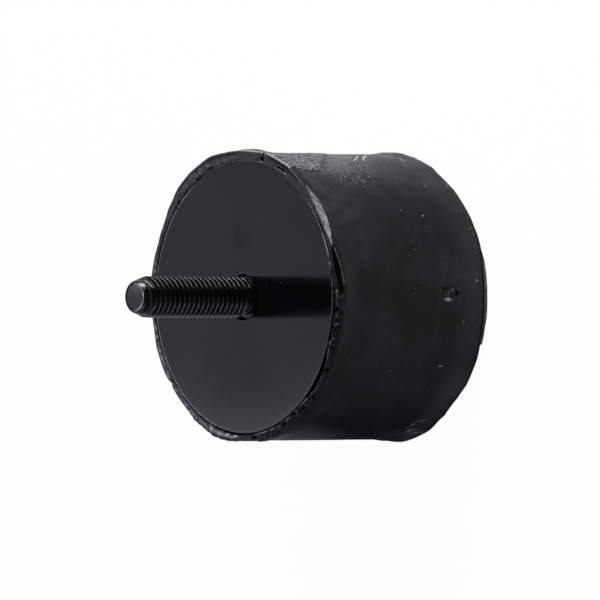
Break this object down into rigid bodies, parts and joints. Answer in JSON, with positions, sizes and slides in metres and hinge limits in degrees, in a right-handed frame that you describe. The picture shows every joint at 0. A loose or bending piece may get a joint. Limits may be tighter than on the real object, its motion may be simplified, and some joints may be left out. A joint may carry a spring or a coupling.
{
  "type": "cylindrical rubber engine mount",
  "caption": "Cylindrical rubber engine mount: a rubber block bonded between two steel plates, with a threaded stud on one end and a tapped bush in the other, that isolates vibration.",
  "frame": {"origin": "centre of the rear plate's outer face, which the mount stands on", "axes": "+Z along the mount's axis towards the stud's tip, +X towards the gate mark on the side of the rubber"},
  "size_m": [0.071, 0.0712, 0.082],
  "materials": {
    "rubber": "moulded, matt to satin, with flash and scuffs",
    "plate_coat": "smooth satin black coat",
    "stud_black": "black oxide, oiled"
  },
  "bodies": {
    "root": {"rubber_body": "rubber", "front_plate": "plate_coat", "front_stud": "stud_black", "rear_plate": "plate_coat", "rear_bush": "stud_black"}
  },
  "joints": []
}
